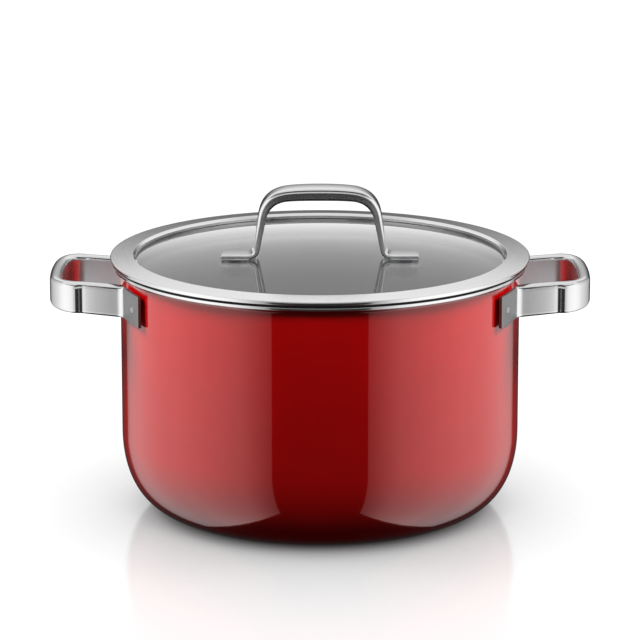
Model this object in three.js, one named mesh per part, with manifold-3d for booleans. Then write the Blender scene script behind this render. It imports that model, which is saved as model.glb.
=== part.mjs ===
// A stock pot of enamelled steel with two side handles, and its glass lid with an arch handle.
// Millimetres, +Z up. The origin is the centre of the base, on the surface that the pot stands on.
// The side handles lie along X. A small gap is left wherever two pieces touch.
import * as THREE from 'three';
import { mergeVertices } from 'three/addons/utils/BufferGeometryUtils.js';
import Module from 'manifold-3d';

const wasm = await Module();
wasm.setup();

// ---------------------------------------------------------------- driving dimensions
const TURN_SEGMENTS = 64;
const SMALL_SEGMENTS = 20;
const GAP = 0.3;
const SEAT_GAP = 0.15;

// The vessel: a drawn shell with a wide corner between its base and its straight wall.
const POT = {
  wallRadius: 122.5,
  wall: 2.5,
  footRadius: 89,
  footPull: 17,
  cornerHeight: 49,
  cornerPull: 34,
  recessRadius: 78,
  footInner: 79.5,
  recessDepth: 0.8,
  flareBottom: 149.4,
  lipRadius: 125.9,
  lipTop: 153.9,
};

// The steel band that is rolled over the vessel's lip.
const BAND = {
  outer: 127,
  inner: 120.3,
  top: 155.4,
  skirt: 152.9,
  leg: 152.4,
  sheet: 0.8,
  round: 0.7,
};

// The lid's steel ring: a flange that rests on the band, and a collar inside the mouth.
const RING = {
  edgeRadius: 128.6,
  edgeBottom: 155.7,
  edgeTop: 158,
  crestRadius: 113.8,
  crestTop: 159,
  crestBottom: 157.1,
  collarOuter: 119.4,
  collarInner: 118.5,
  collarBottom: 149.2,
  shelfInner: 114.6,
  shelf: 0.9,
  round: 0.6,
};

const GLASS = { radius: 117, top: 155.6, bottom: 151.6, edge: 0.5, hole: 4.1, boltX: 52.5 };
const SEAL = { inner: 113.6, outer: 118.3, underInner: 114.4 };

// The arch handle on the lid: a strap bent from foot to foot, thick on top and thin at its feet.
const ARCH = {
  top: 200.2,
  grip: 7.6,
  footEnd: 60.5,
  footStart: 43,
  footTop: 158.5,
  foot: 1.9,
  topHalfWidth: 9.5,
  footHalfWidth: 8.2,
  edge: 0.7,
};

// A side handle: an upright band bent to a loop, whose ends are thin plates along the wall.
// Its lower edge rises straight from the plates' free edges to the grip, its upper edge less so.
const LOOP = {
  reach: 165.2,
  grip: 8,
  armOuter: 42.5,
  armInner: 33.5,
  rootOuter: 41.5,
  rootBend: 127,
  plateOuter: 126.2,
  plateInner: 123.9,
  plateRootAngle: 21,
  plateBackAngle: 16.5,
  plateFreeAngle: 31,
  freeEdgeBottom: 126.2,
  freeEdgeTop: 145.8,
  bottomRise: 6,
  topRise: 3.8,
  edge: 0.8,
};

// The studs on the wall that hold the plates, each through a spacer washer.
const STUD = {
  angle: 26.4,
  height: 136,
  start: 120,
  shank: 1.9,
  head: 2.6,
  headDepth: 0.7,
  clearance: 0.2,
};
const SPACER = { radius: 6.5, hole: 2.1 };

// The bolts welded under the arch's feet, and what is on each of them below the glass.
const BOLT = { radius: 2.4, bottom: 144, clearance: 0.3, bush: 3.8 };
const WASHER = { softRadius: 9.5, soft: 0.9, steelRadius: 8, steel: 1.1 };
const NUT = { acrossFlats: 8, hex: 4, domeRadius: 3.9, dome: 3.6, domeStep: 0.8 };

// ---------------------------------------------------------------- materials
const finish = (color, roughness, metalness) =>
  new THREE.MeshStandardMaterial({ color, roughness, metalness });

const MATERIALS = {
  enamel: finish(0x8a0a0c, 0.08, 0),
  polished: finish(0xd9dadc, 0.12, 1),
  satin: finish(0xb9bbbd, 0.32, 1),
  glass: finish(0x8d9193, 0.03, 0),
  silicone: finish(0x2b2c2e, 0.6, 0),
  fastener: finish(0xc4c6c8, 0.25, 1),
};

// ---------------------------------------------------------------- geometry helpers
const radians = THREE.MathUtils.degToRad;
const point = (x, y) => new THREE.Vector2(x, y);
const polar = (radius, degrees) =>
  point(radius * Math.cos(radians(degrees)), radius * Math.sin(radians(degrees)));

// Turns a section of [radius, height] points about Z. The points run anticlockwise round it.
function turned(section, segments = TURN_SEGMENTS) {
  const points = section.map(([radius, height]) => point(radius, height));
  return new THREE.LatheGeometry(points, segments).rotateX(Math.PI / 2);
}

// A ring's section is a closed loop, so its first point is repeated at the end.
const turnedRing = (section, segments) => turned([...section, section[0]], segments);

function post(radius, bottom, top, segments = SMALL_SEGMENTS) {
  return new THREE.CylinderGeometry(radius, radius, top - bottom, segments)
    .rotateX(Math.PI / 2)
    .translate(0, 0, (top + bottom) / 2);
}

// A flat washer or a sleeve.
const washer = (outer, hole, bottom, top) =>
  turnedRing([[hole, bottom], [outer, bottom], [outer, top], [hole, top]], SMALL_SEGMENTS);

function solid(geometry) {
  const bare = geometry.clone();
  bare.deleteAttribute('normal');
  bare.deleteAttribute('uv');
  const merged = mergeVertices(bare, 1e-4);
  return new wasm.Manifold(
    new wasm.Mesh({
      numProp: 3,
      vertProperties: merged.attributes.position.array,
      triVerts: new Uint32Array(merged.index.array),
    }),
  );
}

function geometryOf(manifold) {
  const mesh = manifold.getMesh();
  const geometry = new THREE.BufferGeometry();
  geometry.setAttribute('position', new THREE.BufferAttribute(mesh.vertProperties, 3));
  geometry.setIndex(new THREE.BufferAttribute(mesh.triVerts, 1));
  const faceted = geometry.toNonIndexed();
  faceted.computeVertexNormals();
  return faceted;
}

const cut = (body, ...tools) =>
  geometryOf(tools.reduce((left, tool) => left.subtract(solid(tool)), solid(body)));
const join = (first, second) => geometryOf(solid(first).add(solid(second)));

// Moves every vertex of a geometry by a rule that changes its vector in place.
function reshape(geometry, rule) {
  const places = geometry.attributes.position;
  const at = new THREE.Vector3();
  for (let i = 0; i < places.count; i += 1) {
    rule(at.fromBufferAttribute(places, i));
    places.setXYZ(i, at.x, at.y, at.z);
  }
  geometry.computeVertexNormals();
  return geometry;
}

// An outline pushed through a depth, centred on zero, with a small chamfer all round.
function pushed(shape, depth, edge) {
  return new THREE.ExtrudeGeometry(shape, {
    depth: depth - 2 * edge,
    bevelThickness: edge,
    bevelSize: edge,
    bevelOffset: -edge,
    bevelSegments: 1,
  }).translate(0, 0, edge - depth / 2);
}

// ---------------------------------------------------------------- vessel
function potCorner() {
  const { wallRadius, footRadius, footPull, cornerHeight, cornerPull } = POT;
  return new THREE.CubicBezierCurve(
    point(footRadius, 0),
    point(footRadius + footPull, 0),
    point(wallRadius, cornerHeight - cornerPull),
    point(wallRadius, cornerHeight),
  );
}

// The corner moved inwards by the wall's thickness, square to the outer surface.
function insideCorner(curve, steps) {
  return Array.from({ length: steps + 1 }, (_, i) => {
    const at = curve.getPoint(i / steps);
    const along = curve.getTangent(i / steps);
    return [at.x - along.y * POT.wall, at.y + along.x * POT.wall];
  });
}

function potBody() {
  const steps = 8;
  const { wallRadius, wall, flareBottom, lipRadius, lipTop } = POT;
  const corner = potCorner();
  const outside = corner.getPoints(steps).map((at) => [at.x, at.y]);
  const inside = insideCorner(corner, steps).reverse();
  const lip = [
    [wallRadius, flareBottom],
    [wallRadius + 0.9, flareBottom + 1.8],
    [lipRadius, flareBottom + 3],
    [lipRadius, lipTop],
    [wallRadius, lipTop],
    [wallRadius - 1, lipTop - 1],
    [wallRadius - wall, flareBottom + 0.8],
  ];
  const base = [
    [0, POT.recessDepth],
    [POT.recessRadius, POT.recessDepth],
    [POT.footInner, 0],
  ];
  return turned([...base, ...outside, ...lip, ...inside, [0, wall]]);
}

function rimBand() {
  const { outer, inner, top, skirt, leg, sheet, round } = BAND;
  const underside = POT.lipTop + GAP;
  return turnedRing([
    [outer - sheet, skirt],
    [outer, skirt],
    [outer, top - round],
    [outer - round, top],
    [inner + round, top],
    [inner, top - round],
    [inner, leg],
    [inner + sheet, leg],
    [inner + sheet, underside],
    [outer - sheet, underside],
  ]);
}

// ---------------------------------------------------------------- side handles
// Half of the loop seen from above, on the side of +Y, for the handle at +X.
function loopHalf() {
  const { reach, grip, armOuter, armInner, rootOuter, rootBend } = LOOP;
  const { plateOuter, plateInner, plateRootAngle, plateBackAngle, plateFreeAngle } = LOOP;
  const root = polar(plateOuter, plateRootAngle);
  const freeEdge = radians(plateFreeAngle);
  const outside = new THREE.Path();
  outside.moveTo(reach, 0);
  outside.bezierCurveTo(reach, 8, reach - 0.2, 17, reach - 1, 23);
  outside.bezierCurveTo(reach - 2.6, 33, reach - 6, armOuter, reach - 18, armOuter);
  outside.lineTo(rootBend, rootOuter);
  outside.quadraticCurveTo(root.x + 1.5, rootOuter, root.x, root.y);
  outside.absarc(0, 0, plateOuter, radians(plateRootAngle), freeEdge, false);

  const back = reach - grip;
  const inside = new THREE.Path();
  inside.absarc(0, 0, plateInner, freeEdge, radians(plateBackAngle), true);
  inside.quadraticCurveTo(plateInner - 4.3, armInner, plateInner, armInner);
  inside.lineTo(back - 11, armInner);
  inside.bezierCurveTo(back - 5, armInner, back - 2.4, 31, back - 1.4, 24);
  inside.bezierCurveTo(back - 0.6, 17, back, 8, back, 0);
  return [...outside.getPoints(5), ...inside.getPoints(5)];
}

// The studs stand on the wall square to it, so each is made along X and turned to its angle.
const atStud = (geometry, side) =>
  geometry
    .rotateY(Math.PI / 2)
    .translate(0, 0, STUD.height)
    .rotateZ(radians(side * STUD.angle));

// A shank with a countersunk head that ends at a given radius from the pot's axis.
function studBlank(grow, end) {
  const { shank, head, headDepth, start } = STUD;
  const faceEdge = LOOP.plateOuter - 0.2;
  return turned(
    [
      [0, start],
      [shank + grow, start],
      [shank + grow, faceEdge - headDepth],
      [head + grow, faceEdge],
      [head + grow, end],
      [0, end],
    ],
    SMALL_SEGMENTS,
  );
}

// A round block about the pot's axis, as high as the studs' stretch of the wall.
const wallBlock = (radius) =>
  post(radius, LOOP.freeEdgeBottom, LOOP.freeEdgeTop, TURN_SEGMENTS);
const stud = (side) =>
  cut(atStud(studBlank(0, LOOP.plateOuter), side), wallBlock(POT.wallRadius + GAP));

function spacer(side) {
  const { radius, hole } = SPACER;
  const blank = washer(radius, hole, STUD.start, LOOP.plateOuter);
  const behindPlate = solid(wallBlock(LOOP.plateInner - GAP));
  const curved = geometryOf(solid(atStud(blank, side)).intersect(behindPlate));
  return cut(curved, wallBlock(POT.wallRadius + GAP));
}

function sideHandle() {
  const { freeEdgeBottom, freeEdgeTop, bottomRise, topRise, reach, edge } = LOOP;
  const half = loopHalf();
  const otherHalf = half.slice(1, -1).map((at) => point(at.x, -at.y)).reverse();
  const shape = new THREE.Shape([...half, ...otherHalf]);
  const height = freeEdgeTop - freeEdgeBottom;
  const blank = pushed(shape, height, edge).translate(0, 0, freeEdgeBottom + height / 2);
  const freeEdge = polar(LOOP.plateOuter, LOOP.plateFreeAngle);
  reshape(blank, (at) => {
    const out = THREE.MathUtils.clamp((at.x - freeEdge.x) / (reach - freeEdge.x), 0, 1);
    const up = (at.z - freeEdgeBottom) / height;
    const lower = bottomRise * out;
    const upper = topRise * Math.sin((out * Math.PI) / 2);
    at.z += THREE.MathUtils.lerp(lower, upper, up);
  });
  const drill = (side) => atStud(studBlank(STUD.clearance, LOOP.plateOuter + 1), side);
  return cut(blank, drill(1), drill(-1));
}

// ---------------------------------------------------------------- lid
function lidRing() {
  const { edgeRadius, edgeBottom, edgeTop, crestRadius, crestTop, crestBottom } = RING;
  const { collarOuter, collarInner, collarBottom, shelfInner, shelf, round } = RING;
  return turnedRing([
    [shelfInner, collarBottom],
    [collarOuter - round, collarBottom],
    [collarOuter, collarBottom + round],
    [collarOuter, edgeBottom],
    [edgeRadius - round, edgeBottom],
    [edgeRadius, edgeBottom + round],
    [edgeRadius, edgeTop - round],
    [edgeRadius - round, edgeTop],
    [crestRadius + round / 2, crestTop],
    [crestRadius, crestTop - round / 2],
    [crestRadius, crestBottom],
    [collarInner, crestBottom],
    [collarInner, collarBottom + shelf],
    [shelfInner, collarBottom + shelf],
  ]);
}

// A channel of silicone that grips the glass by its edge, inside the ring.
function lidSeal() {
  const { inner, outer, underInner } = SEAL;
  const bottom = RING.collarBottom + RING.shelf + SEAT_GAP;
  return turnedRing([
    [underInner, bottom],
    [outer, bottom],
    [outer, RING.crestBottom - SEAT_GAP],
    [inner, RING.crestBottom - SEAT_GAP],
    [inner, GLASS.top + SEAT_GAP],
    [GLASS.radius + GAP, GLASS.top + SEAT_GAP],
    [GLASS.radius + GAP, GLASS.bottom - SEAT_GAP],
    [underInner, GLASS.bottom - SEAT_GAP],
  ]);
}

function lidGlass() {
  const { radius, top, bottom, edge, hole, boltX } = GLASS;
  const disc = turned([
    [0, bottom],
    [radius - edge, bottom],
    [radius, bottom + edge],
    [radius, top - edge],
    [radius - edge, top],
    [0, top],
  ]);
  const drill = (x) => post(hole, bottom - 1, top + 1).translate(x, 0, 0);
  return cut(disc, drill(boltX), drill(-boltX));
}

// Half of the arch seen from the front, on the side of +X, from its foot to its crown.
function archOutside() {
  const { top, footEnd, footTop } = ARCH;
  const path = new THREE.Path();
  path.moveTo(footEnd, footTop);
  path.lineTo(45, footTop);
  path.bezierCurveTo(42.6, footTop, 41, footTop + 1, 40.6, footTop + 3.4);
  path.lineTo(38.2, 181);
  path.bezierCurveTo(37, 189.5, 32.5, 196.2, 21.5, 198.6);
  path.bezierCurveTo(15, 199.8, 7, top, 0, top);
  return path.getPoints(5);
}

function archInside() {
  const { top, grip, footEnd, footStart, footTop, foot } = ARCH;
  const underside = top - grip;
  const footBottom = footTop - foot;
  const path = new THREE.Path();
  path.moveTo(footEnd, footBottom);
  path.lineTo(footStart, footBottom);
  path.bezierCurveTo(39.4, footBottom, 37.6, footTop - 0.4, 36.9, footTop + 3);
  path.lineTo(33.2, 179.4);
  path.bezierCurveTo(31.8, 187, 27.5, 191.2, 20, underside - 0.5);
  path.bezierCurveTo(14, underside, 7, underside, 0, underside);
  return path.getPoints(5);
}

function archHandle() {
  const { top, footTop, topHalfWidth, footHalfWidth, edge } = ARCH;
  const across = (at) => point(-at.x, at.y);
  const outside = archOutside();
  const inside = archInside();
  const shape = new THREE.Shape([
    ...outside,
    ...outside.slice(0, -1).map(across).reverse(),
    ...inside.map(across),
    ...inside.slice(0, -1).reverse(),
  ]);
  const strap = pushed(shape, 2 * topHalfWidth, edge).rotateX(Math.PI / 2);
  return reshape(strap, (at) => {
    const part = THREE.MathUtils.clamp((top - at.z) / (top - footTop), 0, 1);
    at.y *= THREE.MathUtils.lerp(1, footHalfWidth / topHalfWidth, part);
  });
}

// A soft pad between a foot of the arch and the glass.
function footPad() {
  const { footEnd, footStart, footTop, foot, footHalfWidth } = ARCH;
  const bottom = GLASS.top + SEAT_GAP;
  const top = footTop - foot - SEAT_GAP;
  const inset = 0.6;
  const length = footEnd - inset - footStart;
  const pad = new THREE.BoxGeometry(length, 2 * (footHalfWidth - inset), top - bottom);
  pad.translate(footEnd - inset - length / 2, 0, (bottom + top) / 2);
  const hole = post(BOLT.radius + BOLT.clearance, bottom - 1, top + 1);
  return cut(pad, hole.translate(GLASS.boltX, 0, 0));
}

// ---------------------------------------------------------------- what holds the arch
const softTop = GLASS.bottom - SEAT_GAP;
const steelTop = softTop - WASHER.soft - SEAT_GAP;
const nutTop = steelTop - WASHER.steel - SEAT_GAP;
const boltHole = BOLT.radius + BOLT.clearance;

const boltStack = {
  lid_bolt: () => post(BOLT.radius, BOLT.bottom, ARCH.footTop - ARCH.foot - SEAT_GAP),
  glass_bush: () => washer(BOLT.bush, boltHole, GLASS.bottom, GLASS.top),
  soft_washer: () => washer(WASHER.softRadius, boltHole, softTop - WASHER.soft, softTop),
  steel_washer: () => washer(WASHER.steelRadius, boltHole, steelTop - WASHER.steel, steelTop),
  cap_nut: capNut,
};

// A hexagon with a domed cap below it, and a blind hole for the bolt from above.
function capNut() {
  const { acrossFlats, hex, domeRadius, dome, domeStep } = NUT;
  const hexBottom = nutTop - hex;
  const capBottom = hexBottom - dome;
  const head = post(acrossFlats / Math.sqrt(3), hexBottom, nutTop, 6);
  const cap = turned(
    [
      [0, capBottom],
      [domeRadius * 0.6, capBottom + domeStep],
      [domeRadius, hexBottom - domeStep],
      [domeRadius, hexBottom + domeStep],
      [0, hexBottom + domeStep],
    ],
    SMALL_SEGMENTS,
  );
  return cut(join(head, cap), post(boltHole, BOLT.bottom - GAP, nutTop + 1));
}

// ---------------------------------------------------------------- assembly
const assembly = new THREE.Group();

function addPart(name, geometry, material, parent = assembly) {
  const mesh = new THREE.Mesh(geometry, MATERIALS[material]);
  mesh.name = name;
  parent.add(mesh);
}

addPart('pot_body', potBody(), 'enamel');
addPart('rim_band', rimBand(), 'polished');

// What is on the left is what is on the right, turned half a turn about Z.
const handleSides = { right: 0, left: Math.PI };
for (const [side, turn] of Object.entries(handleSides)) {
  const mounted = new THREE.Group();
  mounted.rotation.z = turn;
  assembly.add(mounted);
  addPart(`side_handle_${side}`, sideHandle(), 'polished', mounted);
  for (const [place, sign] of [['a', 1], ['b', -1]]) {
    addPart(`handle_stud_${side}_${place}`, stud(sign), 'fastener', mounted);
    addPart(`stud_spacer_${side}_${place}`, spacer(sign), 'silicone', mounted);
  }
}

const lid = new THREE.Group();
assembly.add(lid);
addPart('lid_ring', lidRing(), 'satin', lid);
addPart('lid_seal', lidSeal(), 'silicone', lid);
addPart('lid_glass', lidGlass(), 'glass', lid);
addPart('arch_handle', archHandle(), 'polished', lid);

const stackMaterials = {
  lid_bolt: 'fastener',
  glass_bush: 'silicone',
  soft_washer: 'silicone',
  steel_washer: 'fastener',
  cap_nut: 'fastener',
};
for (const [side, turn] of Object.entries(handleSides)) {
  const foot = new THREE.Group();
  foot.rotation.z = turn;
  lid.add(foot);
  addPart(`foot_pad_${side}`, footPad(), 'silicone', foot);
  for (const [piece, make] of Object.entries(boltStack)) {
    const geometry = make().translate(GLASS.boltX, 0, 0);
    addPart(`${piece}_${side}`, geometry, stackMaterials[piece], foot);
  }
}

export default assembly;
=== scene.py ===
"""The looks of an enamelled steel stock pot with a glass lid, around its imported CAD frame.

Lengths are millimetres, as on a drawing, and become metres where a mesh is made. Only the places of
the lamps and of the camera are metres from the start. Every height and radius that another piece
depends on is read from the CAD nodes' own boxes.
"""

import math

import bmesh
import bpy
from mathutils import Matrix, Vector


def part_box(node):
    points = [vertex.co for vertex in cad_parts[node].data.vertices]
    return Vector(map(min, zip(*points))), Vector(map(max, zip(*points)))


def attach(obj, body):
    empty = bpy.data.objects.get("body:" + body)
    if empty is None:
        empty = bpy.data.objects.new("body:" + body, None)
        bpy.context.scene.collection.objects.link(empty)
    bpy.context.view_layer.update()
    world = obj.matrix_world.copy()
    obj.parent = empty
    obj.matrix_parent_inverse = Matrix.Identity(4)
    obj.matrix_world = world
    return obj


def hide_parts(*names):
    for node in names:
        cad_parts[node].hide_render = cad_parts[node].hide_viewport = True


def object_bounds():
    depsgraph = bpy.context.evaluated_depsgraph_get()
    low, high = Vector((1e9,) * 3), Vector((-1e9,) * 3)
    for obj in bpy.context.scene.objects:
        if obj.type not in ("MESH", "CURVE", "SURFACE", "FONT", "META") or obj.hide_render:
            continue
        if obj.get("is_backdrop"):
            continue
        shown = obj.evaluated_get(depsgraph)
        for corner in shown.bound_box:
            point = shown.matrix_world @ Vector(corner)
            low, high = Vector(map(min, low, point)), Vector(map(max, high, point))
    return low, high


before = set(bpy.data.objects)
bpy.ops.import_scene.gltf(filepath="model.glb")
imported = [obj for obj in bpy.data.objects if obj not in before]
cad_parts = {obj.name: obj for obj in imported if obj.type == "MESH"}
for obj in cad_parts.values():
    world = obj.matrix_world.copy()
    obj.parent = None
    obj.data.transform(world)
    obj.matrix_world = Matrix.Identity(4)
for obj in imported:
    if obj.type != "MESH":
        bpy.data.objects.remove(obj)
CAD_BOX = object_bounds()

MM = 0.001
TURN = 2 * math.pi


# ------------------------------------------------------------------ sizes from the frame
def low(node, axis):
    """The lowest coordinate of a CAD node along an axis, in millimetres."""
    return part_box(node)[0][axis] / MM


def high(node, axis):
    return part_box(node)[1][axis] / MM


X, Y, Z = range(3)

POT = {
    "wall_radius": high("pot_body", Y) - 3.4,
    "lip_radius": high("pot_body", Y),
    "lip_top": high("pot_body", Z),
    "wall": 2.5,
    "foot_radius": 89,
    "foot_pull": 17,
    "corner_height": 49,
    "corner_pull": 34,
    "recess_radius": 78,
    "foot_inner": 79.5,
    "recess_depth": 0.8,
}
BAND = {
    "outer": high("rim_band", Y),
    "inner": 120.3,
    "top": high("rim_band", Z),
    "skirt": 152.2,
    "bead_top": 153.9,
    "seat": 124.8,
    "leg": low("rim_band", Z),
    "sheet": 0.8,
}
RING = {
    "edge": high("lid_ring", Y),
    "edge_bottom": 155.7,
    "edge_top": 158,
    "crest_radius": 113.8,
    "lip_bottom": high("lid_glass", Z) + 0.12,
    "crest": high("lid_ring", Z),
    "crest_bottom": 157.1,
    "collar_outer": 119.4,
    "collar_inner": 118.5,
    "bottom": low("lid_ring", Z),
    "shelf_inner": 114.6,
    "shelf": 0.9,
}
GLASS = {
    "radius": high("lid_glass", Y),
    "top": high("lid_glass", Z),
    "bottom": low("lid_glass", Z),
    "hole": 4.1,
    "bolt_x": 52.5,
}
SEAL = {"inner": 114.4, "outer": high("lid_seal", Y), "under_inner": 114.8}
ARCH = {
    "top": high("arch_handle", Z),
    "grip": 7.6,
    "foot_end": high("arch_handle", X),
    "foot_top": 158.5,
    "foot": 1.9,
    "top_half_width": high("arch_handle", Y),
    "foot_half_width": 8.2,
    "crown": 0.4,
}
LOOP = {
    "reach": high("side_handle_right", X),
    "grip": 8,
    "arm_outer": 42.5,
    "arm_inner": 33.5,
    "root_outer": 41.4,
    "plate_outer": 126.2,
    "plate_inner": 123.9,
    "plate_free": 30.4,
    "plate_root": 20.1,
    "plate_back": 16.5,
    "plate_thickness": 2.3,
    "thickening": 5.2,
    "root_bend": 122.6,
    "free_bottom": low("side_handle_right", Z),
    "free_top": 145.8,
    "bottom_rise": 6,
    "top_rise": 3.8,
}
STUD = {
    "angle": 26.4,
    "height": 136,
    "head": 2.1,
    "shank": 1.8,
    "spacer_hole": 2.1,
    "spacer_radius": 6.5,
}
BOLT = {"hole": 2.7, "pitch": 0.7, "thread_depth": 0.35, "plain": 1}
NUT = {"flats": 8, "hex_height": 4, "dome_radius": 3.9, "bore_bottom": 143.7}

GAP = 0.3
SIDES = {"right": 1, "left": -1}


# ------------------------------------------------------------------ outlines
FLAT_GUARD = 0.06  # how far from an arc the flat beside it gets a point of its own


def bezier(a, b, c, d, steps=14):
    """Points of a cubic curve, without its first."""
    points = [Vector(p) for p in (a, b, c, d)]
    out = []
    for k in range(1, steps + 1):
        t = k / steps
        weights = ((1 - t) ** 3, 3 * t * (1 - t) ** 2, 3 * t * t * (1 - t), t**3)
        out.append(sum((w * p for w, p in zip(weights, points)), Vector((0, 0))))
    return out


def quadratic(a, b, c, steps=14):
    """The same for a curve with one control point."""
    a, b, c = Vector(a), Vector(b), Vector(c)
    return bezier(a, a.lerp(b, 2 / 3), c.lerp(b, 2 / 3), c, steps)


def line(a, b, steps=12):
    return [Vector(a).lerp(Vector(b), k / steps) for k in range(1, steps + 1)]


def polar(radius, degrees):
    angle = math.radians(degrees)
    return Vector((radius * math.cos(angle), radius * math.sin(angle)))


def arc(radius, first, last, steps=14):
    """Points on a circle round the origin between two angles in degrees, with both ends."""
    return [polar(radius, first + (last - first) * k / steps) for k in range(steps + 1)]


def rounded(corners, steps=5):
    """A closed outline whose corners (x, y, radius) become arcs.

    A point just beside each arc keeps the shading of the flat next to it flat.
    """
    out = []
    for i, (x, y, radius) in enumerate(corners):
        here = Vector((x, y))
        if radius <= 0:
            out.append(here)
            continue
        back = (Vector(corners[i - 1][:2]) - here).normalized()
        on = (Vector(corners[(i + 1) % len(corners)][:2]) - here).normalized()
        half = back.angle(on) / 2
        start = here + back * (radius / math.tan(half))
        centre = here + (back + on).normalized() * (radius / math.sin(half))
        end = here + on * (radius / math.tan(half))
        sweep = math.pi - 2 * half
        way = math.copysign(1, (start - centre).cross(end - centre))
        out.append(start + back * FLAT_GUARD)
        for k in range(steps + 1):
            angle = way * sweep * k / steps
            turn = Matrix(((math.cos(angle), -math.sin(angle)), (math.sin(angle), math.cos(angle))))
            out.append(centre + turn @ (start - centre))
        out.append(end + on * FLAT_GUARD)
    return out


# ------------------------------------------------------------------ meshes
def finish_mesh(name, bm, sharp=32):
    """An object from a bmesh in millimetres, smooth but for edges over the sharp angle."""
    bmesh.ops.remove_doubles(bm, verts=bm.verts, dist=1e-4)
    bmesh.ops.recalc_face_normals(bm, faces=bm.faces)
    bm.transform(Matrix.Scale(MM, 4))
    mesh = bpy.data.meshes.new(name)
    bm.to_mesh(mesh)
    bm.free()
    made = bpy.data.objects.new(name, mesh)
    bpy.context.scene.collection.objects.link(made)
    return shade(made, sharp)


def shade(made, sharp=32):
    made.data.shade_smooth()
    made.data.set_sharp_from_angle(angle=math.radians(sharp))
    return made


def join(bm, first, second, closed=True):
    """Quads, or triangles at an axis, between two rows of vertices."""
    count = len(first)
    for i in range(count if closed else count - 1):
        j = (i + 1) % count
        corners = list(dict.fromkeys((first[i], first[j], second[j], second[i])))
        if len(corners) > 2:
            bm.faces.new(corners)


def loft(name, rings, sharp=32):
    """A closed body through rings of points."""
    bm = bmesh.new()
    rows = [[bm.verts.new(point) for point in ring] for ring in rings]
    for first, second in zip(rows, rows[1:]):
        join(bm, first, second)
    bm.faces.new(rows[0])
    bm.faces.new(rows[-1])
    return finish_mesh(name, bm, sharp)


def turned(name, section, segments=288, place=Matrix(), sharp=32):
    """Turns a section of (radius, height) points about Z. A section off the axis is closed."""
    bm = bmesh.new()
    rings = []
    for radius, height in section:
        if radius < 1e-6:
            rings.append([bm.verts.new(place @ Vector((0, 0, height)))] * segments)
            continue
        ring = []
        for k in range(segments):
            angle = TURN * k / segments
            at = Vector((radius * math.cos(angle), radius * math.sin(angle), height))
            ring.append(bm.verts.new(place @ at))
        rings.append(ring)
    closed = section[0][0] > 1e-6
    for first, second in zip(rings, rings[1:] + rings[:1] if closed else rings[1:]):
        join(bm, first, second)
    return finish_mesh(name, bm, sharp)


def boolean(made, tool, operation="DIFFERENCE", sharp=32):
    """Cuts, joins or crosses two objects, and removes the second."""
    modifier = made.modifiers.new("shape", "BOOLEAN")
    modifier.operation = operation
    modifier.solver = "EXACT"
    modifier.object = tool
    bpy.context.view_layer.update()
    seen = made.evaluated_get(bpy.context.evaluated_depsgraph_get())
    mesh = bpy.data.meshes.new_from_object(seen)
    made.modifiers.clear()
    made.data = mesh
    bpy.data.objects.remove(tool)
    return shade(made, sharp)


STRAP_END = 0.4  # the rounding of a strap's two ends


def strap(name, pairs, corners, place):
    """A strap between pairs of (inner, outer) outline points, with softened ends.

    corners(thickness, inner, outer) gives the section's corners (across, up, radius), and
    place(inner, outer, across, up) puts a point of the section in space.
    """
    def end_stations(first, second):
        for degrees in (90, 60, 30, 0):
            along = STRAP_END * (1 - math.sin(math.radians(degrees)))
            inset = STRAP_END * (1 - math.cos(math.radians(degrees)))
            shifted = [p + (q - p).normalized() * along for p, q in zip(first, second)]
            yield (*shifted, inset)

    stations = list(end_stations(pairs[0], pairs[1]))
    stations += [(*pair, 0) for pair in pairs[1:-1]]
    stations += reversed(list(end_stations(pairs[-1], pairs[-2])))
    rings = []
    for inner, outer, inset in stations:
        section = corners((outer - inner).length, inner, outer)
        middle = sum((Vector(c[:2]) for c in section), Vector((0, 0))) / len(section)
        moved = []
        for across, up, radius in section:
            across += inset if across < middle.x else -inset
            up += inset if up < middle.y else -inset
            moved.append((across, up, max(radius - inset, 0.05)))
        rings.append([place(inner, outer, *p) for p in rounded(moved)])
    return loft(name, rings, 40)


def blend(low_value, high_value, share):
    """Between two values, with an eased start and end."""
    share = min(max(share, 0), 1)
    return low_value + (high_value - low_value) * share * share * (3 - 2 * share)


def dress(node, made, body, slot, *materials):
    """Puts a finished piece in the place of its CAD node."""
    made.name = "fine_" + node
    for material in materials:
        made.data.materials.append(material)
    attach(made, body)
    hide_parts(node)


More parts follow.
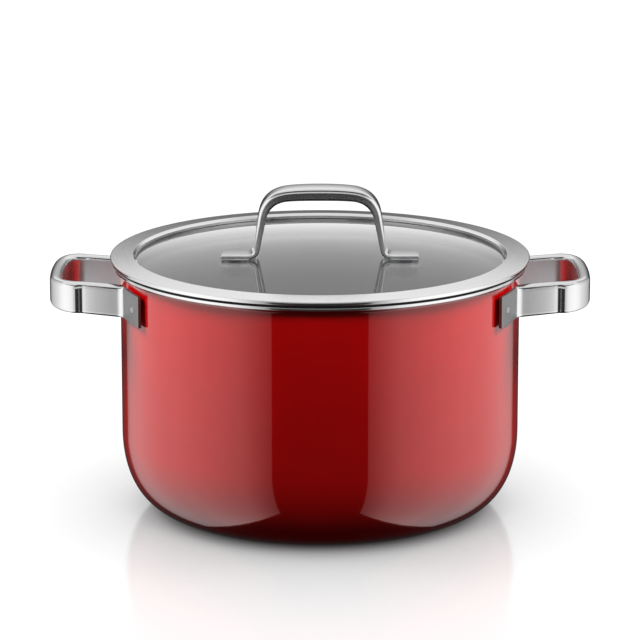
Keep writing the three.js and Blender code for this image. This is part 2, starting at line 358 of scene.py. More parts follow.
# ------------------------------------------------------------------ materials
class Shading:
    """Short calls for the nodes of a material or of the world."""

    def __init__(self, owner):
        owner.use_nodes = True
        self.nodes = owner.node_tree.nodes
        self.links = owner.node_tree.links

    def node(self, kind, **settings):
        made = self.nodes.new(kind)
        for key, value in settings.items():
            setattr(made, key, value)
        return made

    def wire(self, source, target):
        self.links.new(source, target)

    def feed(self, value, socket):
        """Sets a number, or wires another node's output."""
        if isinstance(value, (int, float)):
            socket.default_value = value
        else:
            self.wire(value, socket)

    def math(self, operation, a, b=0.0):
        made = self.node("ShaderNodeMath", operation=operation)
        self.feed(a, made.inputs[0])
        self.feed(b, made.inputs[1])
        return made.outputs[0]

    def parts(self, vector):
        """A vector's three coordinates."""
        made = self.node("ShaderNodeSeparateXYZ")
        self.wire(vector, made.inputs[0])
        return made.outputs

    def span(self, source, low_value, high_value, first=0.0, last=1.0):
        """Maps a value from one range to another."""
        made = self.node("ShaderNodeMapRange")
        made.inputs["From Min"].default_value = first
        made.inputs["From Max"].default_value = last
        made.inputs["To Min"].default_value = low_value
        made.inputs["To Max"].default_value = high_value
        self.wire(source, made.inputs["Value"])
        return made.outputs["Result"]

    def graph(self, value, points, height=2.0):
        """A curve through (place, amount) points, for amounts up to the height."""
        first, last = points[0][0], points[-1][0]
        ramp = self.node("ShaderNodeValToRGB")
        self.wire(self.span(value, 0, 1, first, last), ramp.inputs["Fac"])
        elements = ramp.color_ramp.elements
        elements.remove(elements[-1])
        for index, (place, amount) in enumerate(points):
            position = (place - first) / (last - first)
            element = elements[0] if index == 0 else elements.new(position)
            element.position = position
            element.color = (*(amount / height,) * 3, 1)
        return self.math("MULTIPLY", ramp.outputs["Color"], height)

    def degrees_from_front(self, x, y):
        """The angle about Z between a place and the front, on either side."""
        around = self.math("ARCTAN2", x, self.math("MULTIPLY", y, -1))
        return self.math("MULTIPLY", self.math("ABSOLUTE", around), math.degrees(1))


class Surface(Shading):
    """A Principled material."""

    def __init__(self, name, **constants):
        self.material = bpy.data.materials.new(name)
        super().__init__(self.material)
        self.shader = self.nodes["Principled BSDF"]
        self.output = self.nodes["Material Output"].inputs["Surface"]
        for socket, value in constants.items():
            self.shader.inputs[socket.replace("_", " ")].default_value = value
        self.place = self.node("ShaderNodeTexCoord").outputs["Object"]

    def noise(self, scale, detail=3, vector=None):
        made = self.node("ShaderNodeTexNoise")
        made.inputs["Scale"].default_value = scale
        made.inputs["Detail"].default_value = detail
        self.wire(vector or self.place, made.inputs["Vector"])
        return made.outputs[0]

    def tint(self, source, first, last):
        """A base colour between two by a value."""
        made = self.node("ShaderNodeMix", data_type="RGBA")
        made.inputs["A"].default_value = (*first, 1)
        made.inputs["B"].default_value = (*last, 1)
        self.wire(source, made.inputs["Factor"])
        self.wire(made.outputs["Result"], self.shader.inputs["Base Color"])

    def roughness(self, source, low_value, high_value, first=0.0, last=1.0):
        self.wire(self.span(source, low_value, high_value, first, last), self.shader.inputs["Roughness"])

    def bump(self, height, distance):
        made = self.node("ShaderNodeBump")
        made.inputs["Distance"].default_value = distance
        made.inputs["Strength"].default_value = 1
        self.wire(height, made.inputs["Height"])
        self.wire(made.outputs["Normal"], self.shader.inputs["Normal"])

    def rings(self, across, along):
        """Coordinates that stretch a texture round the Z axis, for turned and brushed metal."""
        x, y, z = self.parts(self.place)
        squares = [self.math("MULTIPLY", side, side) for side in (x, y)]
        radius = self.math("SQRT", self.math("ADD", *squares))
        joined = self.node("ShaderNodeCombineXYZ")
        self.wire(self.math("MULTIPLY", radius, across), joined.inputs[0])
        self.wire(self.math("MULTIPLY", self.math("ARCTAN2", y, x), along), joined.inputs[1])
        self.wire(self.math("MULTIPLY", z, across), joined.inputs[2])
        return joined.outputs[0]

    def glow(self, strength):
        """White light from the material's own surface."""
        self.shader.inputs["Emission Color"].default_value = (1, 1, 1, 1)
        self.wire(strength, self.shader.inputs["Emission Strength"])


def red_enamel():
    """Deep red glass enamel: a faint flow in the colour, a red sheen below a hard clear top."""
    made = Surface(
        "red_enamel",
        Specular_IOR_Level=1.0,
        Specular_Tint=(1, 0.03, 0.02, 1),
        Coat_Weight=1.0,
        Coat_Roughness=0.015,
        Coat_IOR=1.5,
    )
    made.tint(made.span(made.noise(60), 0, 1, 0.3, 0.7), (0.385, 0.0003, 0.0006), (0.415, 0.0005, 0.001))
    made.roughness(made.noise(700), 0.1, 0.14)
    made.bump(made.noise(260, 2), 0.000008)
    return made.material


def grey_enamel():
    """The grey inside coat, with fine light specks."""
    made = Surface("grey_enamel", Specular_IOR_Level=0.4, Coat_Weight=0.6, Coat_Roughness=0.06)
    made.tint(made.span(made.noise(2600, 1), 0, 1, 0.6, 0.72), (0.2, 0.2, 0.21), (0.34, 0.34, 0.35))
    made.roughness(made.noise(500), 0.25, 0.38)
    made.bump(made.noise(300, 2), 0.00002)
    return made.material


def polished_steel(name, first, last, low_roughness, high_roughness):
    made = Surface(name, Metallic=1.0)
    made.tint(made.noise(30), first, last)
    made.roughness(made.noise(900), low_roughness, high_roughness, 0.3, 0.7)
    made.bump(made.noise(120, 2), 0.000008)
    return made.material


def blasted_steel(name, light):
    """The dull grey of bead-blasted steel."""
    made = Surface(name, Metallic=1.0)
    made.tint(made.noise(2500), (light * 0.86,) * 3, (light * 1.14,) * 3)
    made.roughness(made.noise(3000), 0.34, 0.44)
    made.bump(made.noise(4000, 2), 0.00001)
    return made.material


def brushed_steel():
    """The inner faces of the loops, ground along their length and left there."""
    made = Surface("brushed_steel", Metallic=1.0)
    lines = made.noise(1.0, 3, made.rings(90, 2.0))
    made.tint(lines, (0.42, 0.42, 0.43), (0.56, 0.56, 0.57))
    made.roughness(lines, 0.28, 0.4)
    made.bump(made.noise(1500, 2), 0.00001)
    return made.material


def turned_steel(name, low_roughness, high_roughness, grain, light):
    """Steel with fine grooves round the pot's axis."""
    made = Surface(name, Metallic=1.0)
    lines = made.noise(1.0, 4, made.rings(grain, 6.0))
    made.tint(lines, (light * 0.85,) * 3, (light * 1.1,) * 3)
    made.roughness(lines, low_roughness, high_roughness, 0.3, 0.7)
    made.bump(lines, 0.00001)
    return made.material


def satin_steel():
    """Evenly blasted steel, for small turned parts."""
    made = Surface("satin_steel", Metallic=1.0)
    made.tint(made.noise(2500), (0.5, 0.5, 0.51), (0.62, 0.62, 0.63))
    made.roughness(made.noise(3000), 0.22, 0.36)
    made.bump(made.noise(4000, 2), 0.00001)
    return made.material


def silicone(name, first, last, low_roughness, high_roughness):
    made = Surface(name, Specular_IOR_Level=0.35)
    made.tint(made.noise(400), first, last)
    made.roughness(made.noise(900), low_roughness, high_roughness)
    made.bump(made.noise(1800, 2), 0.00002)
    return made.material


def smoky_glass():
    """A thin pane: a clear grey body, with a mirror on it by Fresnel and a trace of wiping marks."""
    made = Surface("smoky_glass", Metallic=1.0, Base_Color=(1, 1, 1, 1))
    made.roughness(made.noise(60), 0.0, 0.03, 0.4, 0.8)
    clear = made.node("ShaderNodeBsdfTransparent")
    clear.inputs["Color"].default_value = (0.5, 0.505, 0.51, 1)
    facing = made.node("ShaderNodeLayerWeight").outputs["Facing"]
    fresnel = made.span(made.math("POWER", facing, 5), 0.04, 1)
    mix = made.node("ShaderNodeMixShader")
    made.wire(fresnel, mix.inputs["Fac"])
    made.wire(clear.outputs[0], mix.inputs[1])
    made.wire(made.shader.outputs[0], mix.inputs[2])
    made.wire(mix.outputs[0], made.output)
    return made.material


RED = red_enamel()
GREY = grey_enamel()
POLISHED = polished_steel("polished_steel", (0.62, 0.62, 0.63), (0.66, 0.66, 0.66), 0.09, 0.14)
ARCH_STEEL = polished_steel("arch_steel", (0.64, 0.64, 0.65), (0.69, 0.69, 0.69), 0.16, 0.22)
BLASTED = blasted_steel("blasted_steel", 0.235)
STUD_STEEL = blasted_steel("stud_steel", 0.4)
BRUSHED = brushed_steel()
RING_STEEL = turned_steel("ring_steel", 0.1, 0.18, 2600, 0.7)
BAND_STEEL = turned_steel("band_steel", 0.08, 0.16, 1500, 0.68)
SATIN = satin_steel()
# Dark silicone for the seal and the spacers, also used as painted shade on the rim band's seat.
SILICONE_AND_SHADE = silicone("silicone", (0.035, 0.036, 0.038), (0.055, 0.056, 0.06), 0.5, 0.7)
PALE_SILICONE = silicone("pale_silicone", (0.6, 0.6, 0.61), (0.7, 0.7, 0.71), 0.45, 0.6)
GLASS_PANE = smoky_glass()


# ------------------------------------------------------------------ the vessel
def vessel():
    wall_radius, foot = POT["wall_radius"], POT["foot_radius"]
    corner = [Vector((foot, 0))] + bezier(
        (foot, 0),
        (foot + POT["foot_pull"], 0),
        (wall_radius, POT["corner_height"] - POT["corner_pull"]),
        (wall_radius, POT["corner_height"]),
        48,
    )
    inside = []
    for i, at in enumerate(corner):
        along = corner[min(i + 1, len(corner) - 1)] - corner[max(i - 1, 0)]
        inside.append(at + Vector((-along.y, along.x)).normalized() * POT["wall"])
    recess = POT["recess_depth"]
    lip_top, lip = POT["lip_top"], POT["lip_radius"]
    base = rounded(
        [
            (0, recess, 0),
            (POT["recess_radius"], recess, 0.6),
            (POT["foot_inner"], 0, 0.6),
            (foot, 0, 0),
        ]
    )[:-1]
    flare = rounded(
        [
            (wall_radius, POT["corner_height"], 0),
            (wall_radius, lip_top - 3.6, 1.5),
            (lip, lip_top - 2.2, 0.8),
            (lip, lip_top, 0.5),
            (wall_radius - 1, lip_top, 0.8),
            (wall_radius - POT["wall"], lip_top - 3, 1.5),
            (wall_radius - POT["wall"], POT["corner_height"], 0),
        ]
    )[1:-1]
    section = base + corner + flare + list(reversed(inside)) + [Vector((0, POT["wall"]))]
    made = turned("vessel", section, 320)
    bounds_radius = (wall_radius - 0.6) * MM
    for face in made.data.polygons:
        outward = face.normal.x * face.center.x + face.normal.y * face.center.y
        within = face.center.xy.length < bounds_radius and face.center.z > 1.5 * MM
        if within and (outward < 0 or face.normal.z > 0.5):
            face.material_index = 1
    dress("pot_body", made, "pot", "enamel", RED, GREY)


def rim_band():
    outer, inner, top, sheet = BAND["outer"], BAND["inner"], BAND["top"], BAND["sheet"]
    under = POT["lip_top"] + GAP
    section = rounded(
        [
            (outer - sheet, BAND["skirt"], 0.25),
            (outer, BAND["skirt"], 0.35),
            (outer, BAND["bead_top"], 0.5),
            (BAND["seat"], under + 0.35, 0.15),
            (BAND["seat"], top, 0.4),
            (inner, top, 0.7),
            (inner, BAND["leg"], 0.25),
            (inner + sheet, BAND["leg"], 0.25),
            (inner + sheet, under, 0.3),
            (outer - sheet, under, 0.25),
        ]
    )
    made = turned("band", section)
    # Painted shade: the band's outer faces above the bead take the dark silicone, a dark seat standing in
    # for the shadow in the gap under the lid's ring.
    painted_shade_from = BAND["bead_top"] * MM
    for face in made.data.polygons:
        if face.center.xy.length > (BAND["seat"] - 0.6) * MM and face.center.z > painted_shade_from:
            face.material_index = 1
    dress("rim_band", made, "pot", "steel_polished", BAND_STEEL, SILICONE_AND_SHADE)


# ------------------------------------------------------------------ side handles
def loop_pairs():
    """Pairs of inner and outer points, from one plate's free edge round the grip to the other's."""
    reach, back = LOOP["reach"], LOOP["reach"] - LOOP["grip"]
    outer_y, inner_y, root_y = LOOP["arm_outer"], LOOP["arm_inner"], LOOP["root_outer"]
    face, wall_side = LOOP["plate_outer"], LOOP["plate_inner"]
    root = polar(face, LOOP["plate_root"])
    heel = polar(wall_side, LOOP["plate_back"])
    bend_x = LOOP["root_bend"]
    flare = ((reach - 21.8, root_y - 0.25), (reach - 17.2, outer_y))
    outer = arc(face, LOOP["plate_free"], LOOP["plate_root"])
    outer += quadratic(root, (root.x + 0.8, root_y), (bend_x, root_y))
    outer += bezier((bend_x, root_y), (131, root_y + 0.05), (141, root_y + 0.15), flare[0], 12)
    outer += bezier(flare[0], (reach - 20.3, root_y - 0.3), (reach - 19.2, outer_y), flare[1], 8)
    outer += bezier(flare[1], (reach - 6, outer_y), (reach - 2.6, 33), (reach - 1, 23), 20)
    outer += bezier((reach - 1, 23), (reach - 0.2, 17), (reach, 8), (reach, 0))
    inner = arc(wall_side, LOOP["plate_free"], LOOP["plate_back"])
    inner += quadratic(heel, (wall_side - 4.3, inner_y), (wall_side, inner_y))
    inner += line((wall_side, inner_y), (back - 13.4, inner_y))
    inner += line((back - 13.4, inner_y), (back - 11, inner_y), 8)
    inner += bezier((back - 11, inner_y), (back - 5, inner_y), (back - 2.4, 31), (back - 1.4, 24), 20)
    inner += bezier((back - 1.4, 24), (back - 0.6, 17), (back, 8), (back, 0))
    half = list(zip(inner, outer))
    flip = [tuple(Vector((p.x, -p.y)) for p in pair) for pair in reversed(half[:-1])]
    return half + flip


def side_handle(side):
    bottom, top = LOOP["free_bottom"], LOOP["free_top"]
    height = top - bottom
    start = polar(LOOP["plate_outer"], LOOP["plate_free"]).x
    way = SIDES[side]

    def corners(thickness, inner, outer):
        thick = (thickness - LOOP["plate_thickness"]) / LOOP["thickening"]
        crown = min(blend(0.5, 4.0, thick), 0.46 * thickness)
        lower = min(blend(0.5, 2.2, thick), 0.4 * thickness)
        return [
            (0, 0, lower),
            (thickness, 0, lower),
            (thickness, height, crown),
            (0, height, crown * 0.85),
        ]

    def place(inner, outer, across, up):
        at = inner + (outer - inner).normalized() * across
        out = min(max((at.x - start) / (LOOP["reach"] - start), 0), 1)
        lower = LOOP["bottom_rise"] * out
        upper = LOOP["top_rise"] * math.sin(out * math.pi / 2)
        z = bottom + up + lower + (upper - lower) * up / height
        return Vector((way * at.x, way * at.y, z))

    made = strap("handle", loop_pairs(), corners, place)
    for sign in (1, -1):
        made = boolean(made, stud_form(side, sign, 0.2, 3), sharp=40)
    edge = (LOOP["plate_outer"] + 0.05) * MM
    middle = Vector((way * (LOOP["reach"] - 25) * MM, 0))
    for face in made.data.polygons:
        at, faces = face.center, face.normal
        if at.xy.length < edge and abs(at.y) > LOOP["arm_outer"] * MM:
            face.material_index = 1
        elif abs(faces.z) < 0.4 and faces.xy.dot(at.xy - middle) < 0:
            face.material_index = 2
    dress(f"side_handle_{side}", made, "pot", "steel_polished", POLISHED, BLASTED, BRUSHED)


def at_stud(side, sign):
    """The place of a stud: its Z axis points out of the wall."""
    turn = Matrix.Rotation(math.radians(sign * STUD["angle"]), 4, "Z")
    if SIDES[side] < 0:
        turn = Matrix.Rotation(math.pi, 4, "Z") @ turn
    up = Matrix.Translation((0, 0, STUD["height"]))
    return up @ turn @ Matrix.Rotation(math.pi / 2, 4, "Y")


def stud_form(side, sign, grow, extra=0.0):
    face = LOOP["plate_outer"]
    start = POT["wall_radius"] + GAP
    section = [
        (0, start),
        (STUD["shank"] + grow, start),
        (STUD["shank"] + grow, face - 0.9),
        (STUD["head"] + grow, face - 0.2),
    ]
    end = face + extra + 0.05
    if extra:
        section += [(STUD["head"] + grow, end), (0, end)]
    else:
        section += [(STUD["head"], end - 0.12), (STUD["head"] - 0.12, end), (0, end + 0.06)]
    return turned("stud", section, 64, at_stud(side, sign))


def stud_spacer(side, sign):
    """A washer that follows the wall's curve."""
    inner, outer = POT["wall_radius"] + GAP, LOOP["plate_inner"] - GAP
    hole, edge = STUD["spacer_hole"], STUD["spacer_radius"]
    section = rounded([(hole, inner, 0.1), (edge, inner, 0.2), (edge, outer, 0.2), (hole, outer, 0.1)], 3)
    made = turned("spacer", section, 96)
    place = at_stud(side, sign)
    for vertex in made.data.vertices:
        along, up, out = vertex.co.y, vertex.co.x, vertex.co.z
        bent = along / (inner * MM)
        vertex.co = Vector((up, out * math.sin(bent), out * math.cos(bent)))
    made.data.transform(Matrix.Scale(MM, 4) @ place @ Matrix.Scale(1 / MM, 4))
    return made


# ------------------------------------------------------------------ the lid
def lid_ring():
    edge, bottom = RING["edge"], RING["edge_bottom"]
    section = rounded(
        [
            (RING["shelf_inner"], RING["bottom"], 0.3),
            (RING["collar_outer"], RING["bottom"], 1.0),
            (RING["collar_outer"], bottom, 0.4),
            (edge, bottom, 0.6),
            (edge, RING["edge_top"], 0.8),
            (RING["crest_radius"] + 0.7, RING["crest"], 0.25),
            (RING["crest_radius"] - 0.8, RING["crest"] - 1.5, 0.25),
            (RING["crest_radius"] - 0.8, RING["lip_bottom"], 0.12),
            (RING["crest_radius"] + 0.3, RING["lip_bottom"], 0.12),
            (RING["crest_radius"] + 0.3, RING["crest_bottom"], 0.1),
            (RING["collar_inner"], RING["crest_bottom"], 0.2),
            (RING["collar_inner"], RING["bottom"] + RING["shelf"], 0.2),
            (RING["shelf_inner"], RING["bottom"] + RING["shelf"], 0.3),
        ]
    )
    dress("lid_ring", turned("ring", section), "lid", "steel_satin", RING_STEEL)


def lid_seal():
    bottom = RING["bottom"] + RING["shelf"] + 0.15
    top = RING["crest_bottom"] - 0.15
    glass_top, glass_bottom = GLASS["top"] + 0.15, GLASS["bottom"] - 0.15
    groove = GLASS["radius"] + GAP
    section = rounded(
        [
            (SEAL["under_inner"], bottom, 0.3),
            (SEAL["outer"], bottom, 0.3),
            (SEAL["outer"], top, 0.3),
            (SEAL["inner"], top, 0.3),
            (SEAL["inner"], glass_top, 0.2),
            (groove, glass_top, 0.1),
            (groove, glass_bottom, 0.1),
            (SEAL["under_inner"], glass_bottom, 0.3),
        ],
        4,
    )
    dress("lid_seal", turned("seal", section), "lid", "silicone", SILICONE_AND_SHADE)


def at_bolt(side):
    return Matrix.Translation((SIDES[side] * GLASS["bolt_x"], 0, 0))


def drilled(made, radius, bottom, top, side, segments):
    """Cuts a round hole on a lid bolt's axis."""
    drill = [(0, bottom), (radius, bottom), (radius, top), (0, top)]
    return boolean(made, turned("drill", drill, segments, at_bolt(side)))


def lid_glass():
    radius, top, bottom = GLASS["radius"], GLASS["top"], GLASS["bottom"]
    section = rounded([(0, bottom, 0), (radius, bottom, 0.8), (radius, top, 0.8), (0, top, 0)])
    made = turned("pane", section)
    for side in SIDES:
        made = drilled(made, GLASS["hole"], bottom - 1, top + 1, side, 72)
    dress("lid_glass", made, "lid", "glass", GLASS_PANE)


def arch_pairs():
    """Pairs of inside and outside points of the arch seen from the front, foot to foot."""
    top, end, foot_top = ARCH["top"], ARCH["foot_end"], ARCH["foot_top"]
    under, sole = top - ARCH["grip"], foot_top - ARCH["foot"]
    outside = [Vector((end, foot_top))] + line((end, foot_top), (45, foot_top), 8)
    outside += bezier((45, foot_top), (42.6, foot_top), (41, foot_top + 1), (40.6, foot_top + 3.4))
    outside += line((40.6, foot_top + 3.4), (38.2, 181))
    outside += bezier((38.2, 181), (37.2, 190), (33, 197.4), (21.5, top - 0.7), 20)
    outside += bezier((21.5, top - 0.7), (15, top + 0.3), (7, top + 0.5), (0, top + 0.5))
    inside = [Vector((end, sole))] + line((end, sole), (43, sole), 8)
    inside += bezier((43, sole), (39.4, sole), (37.6, foot_top - 0.4), (36.9, foot_top + 3))
    inside += line((36.9, foot_top + 3), (33.2, 179.4))
    inside += bezier((33.2, 179.4), (31.8, 187), (27.5, 191.2), (20, under - 0.5), 20)
    inside += bezier((20, under - 0.5), (14, under), (7, under), (0, under))
    half = list(zip(inside, outside))
    flip = [tuple(Vector((-p.x, p.y)) for p in pair) for pair in reversed(half[:-1])]
    return half + flip


def arch_handle():
    top, foot_top = ARCH["top"], ARCH["foot_top"]

    def corners(thickness, inner, outer):
        down = min(max((top - (inner.y + outer.y) / 2) / (top - foot_top), 0), 1)
        width = ARCH["top_half_width"] + down * (ARCH["foot_half_width"] - ARCH["top_half_width"])
        soft = thickness * 0.38
        crisp = thickness * blend(0.2, 0.3, 2 * down)
        crown = ARCH["crown"] * min(thickness / ARCH["grip"], 1)
        bulge = [(thickness - crown * share**2, share * width, 0) for share in (-0.6, -0.3, 0, 0.3, 0.6)]
        edges = [(thickness - crown, -width, soft), *bulge, (thickness - crown, width, soft)]
        return [(0, -width, crisp), *edges, (0, width, crisp)]

    def place(inner, outer, across, up):
        at = inner + (outer - inner).normalized() * across
        return Vector((at.x, up, at.y))

    made = strap("arch", arch_pairs(), corners, place)
    dress("arch_handle", made, "lid", "steel_polished", ARCH_STEEL)


def foot_pad(side):
    """A thin soft pad, a little smaller than the foot it is under, with a hole for the bolt."""
    low_corner, high_corner = (Vector(c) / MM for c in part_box(f"foot_pad_{side}"))
    middle = (low_corner + high_corner) / 2
    half = (high_corner - low_corner) / 2
    signs = ((-1, -1), (1, -1), (1, 1), (-1, 1))
    outline = rounded([(x * half.x, y * half.y, 1.2) for x, y in signs])
    rings = []
    for inset, z in ((0.2, -half.z), (0, 0.2 - half.z), (0, half.z - 0.2), (0.2, half.z)):
        across, along = 1 - inset / half.x, 1 - inset / half.y
        rings.append([middle + Vector((p.x * across, p.y * along, z)) for p in outline])
    made = loft("pad", rings)
    made = drilled(made, BOLT["hole"], low_corner.z - 1, high_corner.z + 1, side, 48)
    dress(f"foot_pad_{side}", made, "lid", "silicone", PALE_SILICONE)


def lid_bolt(side):
    """A welded stud with a rolled thread below its collar."""
    node = f"lid_bolt_{side}"
    bottom, top, radius = low(node, Z), high(node, Z), high(node, Y)
    root = radius - BOLT["thread_depth"]
    section = [(0, bottom), (radius - 0.5, bottom)]
    z = bottom + 0.5
    while z < GLASS["bottom"] - BOLT["plain"]:
        section += [(root, z), (radius, z + BOLT["pitch"] / 2)]
        z += BOLT["pitch"]
    section += [(root, z), (radius, z + 0.4), (radius, top), (0, top)]
    dress(node, turned("bolt", section, 64, at_bolt(side), 60), "lid", "fastener_steel", SATIN)


def sleeve(node, side, soft, slot, material):
    """A washer or bush as large as its CAD node, with rounded edges."""
    name = f"{node}_{side}"
    bottom, top, radius, hole = low(name, Z), high(name, Z), high(name, Y), BOLT["hole"]
    corners = [(hole, bottom), (radius, bottom), (radius, top), (hole, top)]
    section = rounded([(*corner, soft) for corner in corners], 4)
    dress(name, turned(node, section, 96, at_bolt(side)), "lid", slot, material)


def cap_nut(side):
    """A hexagon with turned corners, and a dome below it."""
    node = f"cap_nut_{side}"
    bottom, top = low(node, Z), high(node, Z)
    flats, dome_radius = NUT["flats"], NUT["dome_radius"]
    corner = flats / math.sqrt(3)
    place = at_bolt(side)
    hex_bottom = top - NUT["hex_height"]
    prism = [(0, hex_bottom), (corner, hex_bottom), (corner, top), (0, top)]
    made = turned("nut", prism, 6, place)
    cone = [
        (0, hex_bottom),
        (flats / 2, hex_bottom),
        (corner + 0.1, hex_bottom + 0.7),
        (corner + 0.1, top - 0.5),
        (flats / 2 + 0.1, top),
        (0, top),
    ]
    made = boolean(made, turned("cone", cone, 96, place), "INTERSECT")
    dome = [(0, bottom)]
    for degrees in range(9, 82, 9):
        sine, cosine = math.sin(math.radians(degrees)), math.cos(math.radians(degrees))
        dome.append((dome_radius * sine, hex_bottom - (hex_bottom - bottom) * cosine))
    dome += [(dome_radius, hex_bottom + 0.5), (0, hex_bottom + 0.5)]
    made = boolean(made, turned("dome", dome, 96, place), "UNION")
    made = drilled(made, BOLT["hole"], NUT["bore_bottom"], top + 1, side, 48)
    dress(node, made, "lid", "fastener_steel", SATIN)


# ------------------------------------------------------------------ the pot, put together
vessel()
rim_band()
for side in SIDES:
    side_handle(side)
    for letter, sign in (("a", 1), ("b", -1)):
        dress(f"handle_stud_{side}_{letter}", stud_form(side, sign, 0), "pot", "fastener_steel", STUD_STEEL)
        dress(f"stud_spacer_{side}_{letter}", stud_spacer(side, sign), "pot", "silicone", SILICONE_AND_SHADE)
lid_ring()
lid_seal()
lid_glass()
arch_handle()
for side in SIDES:
    foot_pad(side)
    lid_bolt(side)
    sleeve("glass_bush", side, 0.2, "silicone", PALE_SILICONE)
    sleeve("soft_washer", side, 0.3, "silicone", PALE_SILICONE)
    sleeve("steel_washer", side, 0.2, "fastener_steel", SATIN)
    cap_nut(side)


# ------------------------------------------------------------------ floor
def hide_from(made, *rays):
    """Takes an object out of some kinds of ray."""
    for ray in rays:
        setattr(made, f"visible_{ray}", False)


def floor():
    """A pale, softly polished table whose brightness is its own glow, with painted shade where the pot
    stands close to it.
    """
    bm = bmesh.new()
    bmesh.ops.create_grid(bm, x_segments=1, y_segments=1, size=6000)
    made = finish_mesh("floor", bm)
    made.location.z = low("pot_body", Z) * MM - 0.0002
    white = Surface("floor_white", Base_Color=(0.05, 0.05, 0.05, 1), Specular_IOR_Level=0.7)
    white.roughness(white.noise(3), 0.1, 0.14)
    # Painted shadow: ambient occlusion dims the floor's glow near the pot.
    painted_shade_ao = white.node("ShaderNodeAmbientOcclusion", samples=16)
    painted_shade_ao.inputs["Distance"].default_value = 0.6
    white.glow(white.math("MULTIPLY", painted_shade_ao.outputs["AO"], 0.91))
    made.data.materials.append(white.material)
    hide_from(made, "glossy", "diffuse", "transmission", "shadow")
    made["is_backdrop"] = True


floor()


# ------------------------------------------------------------------ light
# Brightness by degrees above the horizon: behind the pot, before it, and for matt surfaces.
BACK_HEIGHT = [(-90, 0.0), (0, 0.05), (5, 0.2), (13, 0.66), (15.5, 1.1), (21, 1.4), (60, 1.4), (90, 1.3)]
FRONT_HEIGHT = [(-90, 0.0), (5, 0.06), (9, 1.1), (26, 1.1), (32, 0.08), (60, 0.08), (69, 1.3), (90, 1.3)]
FILL_HEIGHT = [(-90, 0.0), (-3, 0.0), (3, 0.12), (90, 0.12)]
# How much of the front's brightness holds, by degrees round from the front.
FRONT_SHARE = [(0, 1), (60, 1), (100, 0), (180, 0)]


class Studio(Shading):
    """The world's nodes."""

    def backdrop(self, strength):
        made = self.node("ShaderNodeBackground")
        self.feed(strength, made.inputs["Strength"])
        return made.outputs[0]

    def choose(self, share, first, second):
        made = self.node("ShaderNodeMixShader")
        for source, socket in zip((share, first, second), made.inputs):
            self.wire(source, socket)
        return made.outputs[0]


def studio():
    """What mirrors see, what lights the matt surfaces, and the white that the camera sees."""
    world = bpy.data.worlds.new("studio")
    bpy.context.scene.world = world
    sky = Studio(world)
    sky.nodes.clear()
    x, y, z = sky.parts(sky.node("ShaderNodeTexCoord").outputs["Generated"])
    elevation = sky.math("MULTIPLY", sky.math("ARCSINE", z), math.degrees(1))
    back = sky.graph(elevation, BACK_HEIGHT)
    front = sky.graph(elevation, FRONT_HEIGHT)
    share = sky.graph(sky.degrees_from_front(x, y), FRONT_SHARE)
    rest = sky.math("SUBTRACT", 1, share)
    seen = sky.math("ADD", sky.math("MULTIPLY", front, share), sky.math("MULTIPLY", back, rest))
    fill = sky.graph(elevation, FILL_HEIGHT)
    path = sky.node("ShaderNodeLightPath").outputs
    lit = sky.choose(path["Is Diffuse Ray"], sky.backdrop(seen), sky.backdrop(fill))
    final = sky.choose(path["Is Camera Ray"], lit, sky.backdrop(1.05))
    sky.wire(final, sky.node("ShaderNodeOutputWorld").inputs["Surface"])
    scene = bpy.context.scene
    scene.view_settings.view_transform = "Standard"
    scene.view_settings.look = "None"


PANEL_RADIUS = 324
# Brightness by degrees round from the front.
PANEL_LIGHT = [
    (22.2, 0.42),
    (28, 0.72),
    (38, 1.25),
    (48, 1.42),
    (60, 1.5),
    (73, 1.42),
    (88, 1.12),
    (108, 0.82),
    (123, 0.5),
    (128, 0.25),
]


def mirror_light(name, columns, brightness):
    """A light made of columns of points, with brightness(light) as its strength. Only mirrors see it."""
    bm = bmesh.new()
    rows = [[bm.verts.new(point) for point in column] for column in columns]
    for first, second in zip(rows, rows[1:]):
        join(bm, first, second, closed=False)
    made = finish_mesh(name, bm)
    light = Surface(name, Base_Color=(0, 0, 0, 1), Specular_IOR_Level=0)
    light.glow(brightness(light))
    made.data.materials.append(light.material)
    hide_from(made, "camera", "diffuse", "transmission", "shadow")
    made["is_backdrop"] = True
    return made, light


def panel(name, way):
    """A tall curved light beside the pot, which reaches below the floor where the pot bends in."""
    first, last = PANEL_LIGHT[0][0], PANEL_LIGHT[-1][0]
    columns = []
    for k in range(81):
        degrees = first + (last - first) * k / 80
        bottom = -215 - 300 * math.sin(math.pi * (degrees - 24) / 130)
        at = polar(PANEL_RADIUS, degrees)
        columns.append([(way * at.y, -at.x, z) for z in (bottom, 150, 420)])

    def brightness(light):
        x, y, _ = light.parts(light.place)
        return light.graph(light.degrees_from_front(x, y), PANEL_LIGHT)

    mirror_light(name, columns, brightness)


GLOW_RADIUS = 150
# Brightness by height above the floor.
GLASS_GLOW = [
    (160, 2.6),
    (163.9, 2.5),
    (168.5, 1.8),
    (172.5, 1.3),
    (175.5, 0.95),
    (179, 0.62),
    (182, 0.45),
    (188, 0.28),
    (194, 0.18),
    (202, 0.08),
    (220, 0),
]


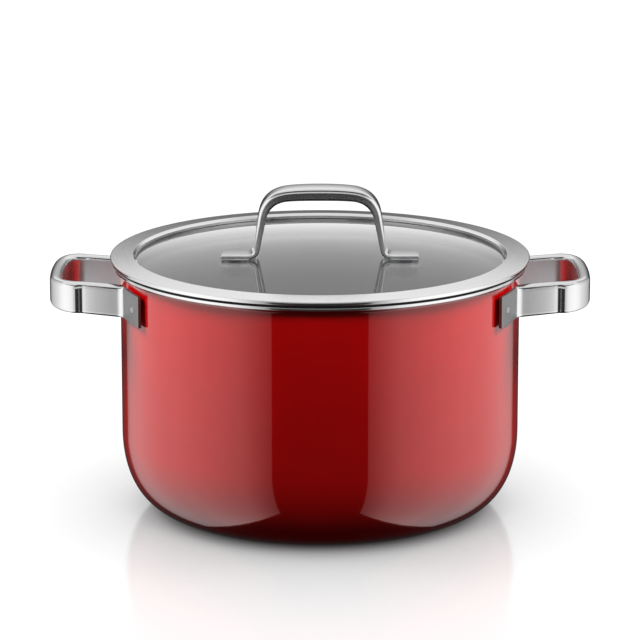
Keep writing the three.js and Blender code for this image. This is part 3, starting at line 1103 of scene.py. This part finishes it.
def glow_behind_glass():
    """A low curved light behind the lid, which only the back of its glass mirrors."""
    heights = (GLASS_GLOW[0][0], GLASS_GLOW[-1][0])
    columns = []
    for k in range(61):
        at = polar(GLOW_RADIUS, 5 + 170 * k / 60)
        columns.append([(at.x, at.y, z) for z in heights])

    def brightness(light):
        height = light.math("MULTIPLY", light.parts(light.place)[2], 1 / MM)
        return light.graph(height, GLASS_GLOW, 3)

    made, light = mirror_light("glass_glow", columns, brightness)
    clear = light.node("ShaderNodeBsdfTransparent")
    both = light.node("ShaderNodeAddShader")
    light.wire(clear.outputs[0], both.inputs[0])
    light.wire(light.shader.outputs[0], both.inputs[1])
    light.wire(both.outputs[0], light.output)
    receivers = bpy.data.collections.new("lit_by_glass_glow")
    receivers.objects.link(bpy.data.objects["fine_lid_glass"])
    made.light_linking.receiver_collection = receivers


def lamp(name, place, power, size):
    """A soft lamp for the matt colours, aimed at the pot. Mirrors don't see it."""
    data = bpy.data.lights.new(name, "AREA")
    data.energy = power
    data.size = size
    made = bpy.data.objects.new(name, data)
    bpy.context.scene.collection.objects.link(made)
    made.location = place
    made.rotation_euler = (Vector((0, 0, 0.1)) - Vector(place)).to_track_quat("-Z", "Y").to_euler()
    hide_from(made, "glossy", "camera")


for side, way in SIDES.items():
    panel(f"panel_{side}", way)
    lamp(f"lamp_{side}", (0.46 * way, 0, 0.46), 5.3, 0.2)
    lamp(f"lamp_low_{side}", (0.5 * way, 0, 0.2), 0.6, 0.2)
lamp("lamp_front", (0, -0.35, 0.45), 1.6, 0.15)
lamp("lamp_back", (0, 0.35, 0.45), 1.6, 0.15)
glow_behind_glass()
studio()


# ------------------------------------------------------------------ camera
def camera():
    """Looks along +Y from 2.17 m away and 13.8 degrees above the pot's middle."""
    distance, pitch = 2.17, math.radians(13.81)
    target = Vector((0, 0, 0.116))
    lens = bpy.data.cameras.new("camera")
    lens.sensor_width = 36
    lens.lens = 198
    made = bpy.data.objects.new("camera", lens)
    bpy.context.scene.collection.objects.link(made)
    away = Vector((0, -math.cos(pitch), math.sin(pitch)))
    made.location = target + away * distance
    made.rotation_euler = (-away).to_track_quat("-Z", "Y").to_euler()
    bpy.context.scene.camera = made


camera()

boxes = {"cad": CAD_BOX, "visual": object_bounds()}
{name: [list(corner) for corner in box] for name, box in boxes.items()}
